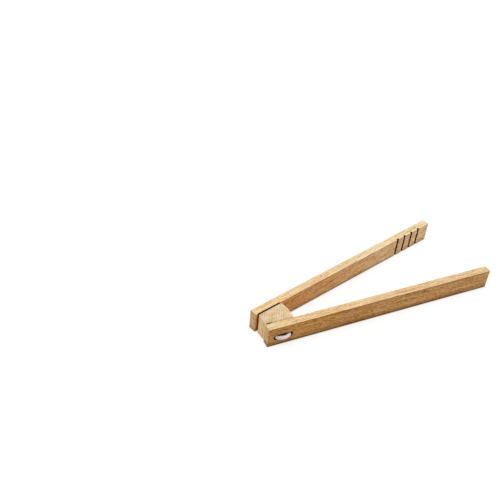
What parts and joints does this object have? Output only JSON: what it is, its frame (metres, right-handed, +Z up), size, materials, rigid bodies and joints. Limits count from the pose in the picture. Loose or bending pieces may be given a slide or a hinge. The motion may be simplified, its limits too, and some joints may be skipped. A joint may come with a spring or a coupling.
{
  "type": "print tongs",
  "caption": "Wooden print tongs: flat beech bars that rock on a tapered block, tied and sprung open by a rubber cord loop, with saw-cut grip grooves inside a tip.",
  "frame": {"origin": "middle of the wedge block's underside, halfway along the block and level with the undersides of both arms", "axes": "+X along the tongs from the block to the tips, +Y to the grooved arm, +Z up off the table that the tongs lie on"},
  "size_m": [0.2094, 0.0841, 0.018],
  "materials": {
    "beech_bar": "planed and sanded bare beech, grain along the bar",
    "beech_block": "sanded bare beech, end grain on top",
    "white_rubber": "smooth off-white rubber cord"
  },
  "bodies": {
    "block": {"wedge_block": "beech_block", "elastic_loop": "white_rubber"},
    "grooved_side": {"grooved_arm": "beech_bar"},
    "plain_side": {"plain_arm": "beech_bar"}
  },
  "joints": [
    {"name": "grooved_arm_rock", "type": "hinge", "parent": "block", "child": "grooved_side", "pos_m": [0.01006, 0.00741, 0.009], "axis": [0, 0, -1], "range_deg": [0, 10.85], "stiffness_Nm_per_rad": 0.12, "springref_deg": -40.11, "deforming": ["elastic_loop"]},
    {"name": "plain_arm_rock", "type": "hinge", "parent": "block", "child": "plain_side", "pos_m": [0.01006, -0.00741, 0.009], "axis": [0, 0, 1], "range_deg": [0, 10.73], "stiffness_Nm_per_rad": 0.12, "springref_deg": -40.11, "deforming": ["elastic_loop"]}
  ]
}
